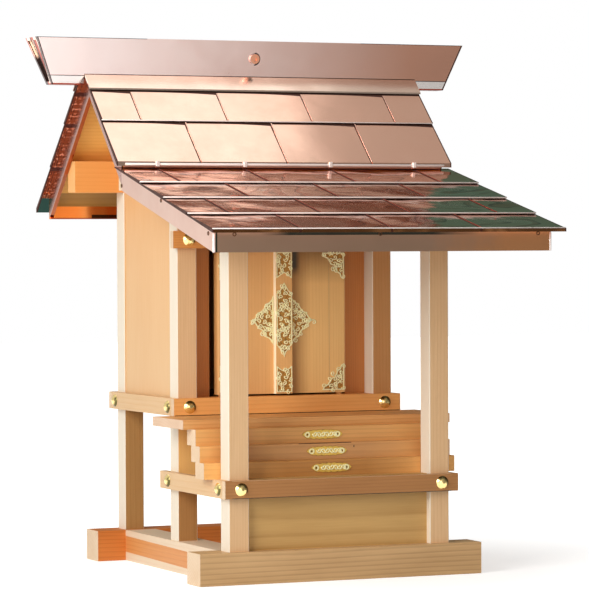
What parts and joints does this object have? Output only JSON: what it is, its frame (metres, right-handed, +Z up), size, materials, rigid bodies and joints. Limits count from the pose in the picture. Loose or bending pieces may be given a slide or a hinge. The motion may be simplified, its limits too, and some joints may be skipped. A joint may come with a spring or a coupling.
{
  "type": "wayside shrine",
  "caption": "Small outdoor wooden shrine on posts with a raised cell, double doors, steps, a steep gabled roof and a shallow porch roof in lapped copper sheet.",
  "frame": {"origin": "under the middle of the whole object, on the surface that the base frame rests on", "axes": "+Z up, -Y is the front with the steps and doors, +X to the right seen from the front"},
  "size_m": [0.479, 0.492, 0.5395],
  "materials": {
    "wood_beam": "planed cypress, bare",
    "wood_board": "planed cypress, bare",
    "wood_door": "planed cypress, bare",
    "copper": "new copper sheet, polished",
    "brass": "polished brass"
  },
  "bodies": {
    "shrine": {"base_front_beam": "wood_beam", "base_rear_beam": "wood_beam", "base_side_beams": "wood_beam", "copper_front": "copper", "copper_porch": "copper", "copper_rear": "copper", "door_lintel": "wood_beam", "door_sill": "wood_beam", "floor_board": "wood_board", "front_boards": "wood_board", "front_plate": "wood_beam", "head_rail": "wood_beam", "lower_rail_front": "wood_beam", "lower_rail_sides": "wood_beam", "main_fascia": "copper", "main_posts": "wood_beam", "nail_covers": "brass", "porch_beam": "wood_beam", "porch_board": "wood_board", "porch_fascia": "copper", "porch_panel": "wood_board", "porch_posts": "wood_beam", "rear_plate": "wood_beam", "rear_posts": "wood_beam", "rear_wall": "wood_board", "ridge_box": "copper", "ridge_flashing": "copper", "riser_plates": "brass", "roof_board_front": "wood_board", "roof_board_rear": "wood_board", "side_wall_left": "wood_board", "side_wall_right": "wood_board", "step_lower": "wood_board", "step_middle": "wood_board", "step_upper": "wood_board", "transom_board": "wood_board", "upper_rail_front": "wood_beam", "upper_rail_rear": "wood_beam", "upper_rail_sides": "wood_beam", "veranda_board": "wood_board"},
    "left_leaf": {"door_left": "wood_door", "astragal": "wood_door", "door_plates_left": "brass"},
    "right_leaf": {"door_right": "wood_door", "door_plates_right": "brass"}
  },
  "joints": [
    {"name": "left_door_hinge", "type": "hinge", "parent": "shrine", "child": "left_leaf", "pos_m": [-0.06545, 0.02525, 0.25], "axis": [0, 0, -1], "range_deg": [0, 110]},
    {"name": "right_door_hinge", "type": "hinge", "parent": "shrine", "child": "right_leaf", "pos_m": [0.06545, 0.02525, 0.25], "axis": [0, 0, 1], "range_deg": [0, 110]}
  ],
  "couplings": [
    {"joint": "right_door_hinge", "follows": "left_door_hinge", "ratio": 1}
  ]
}
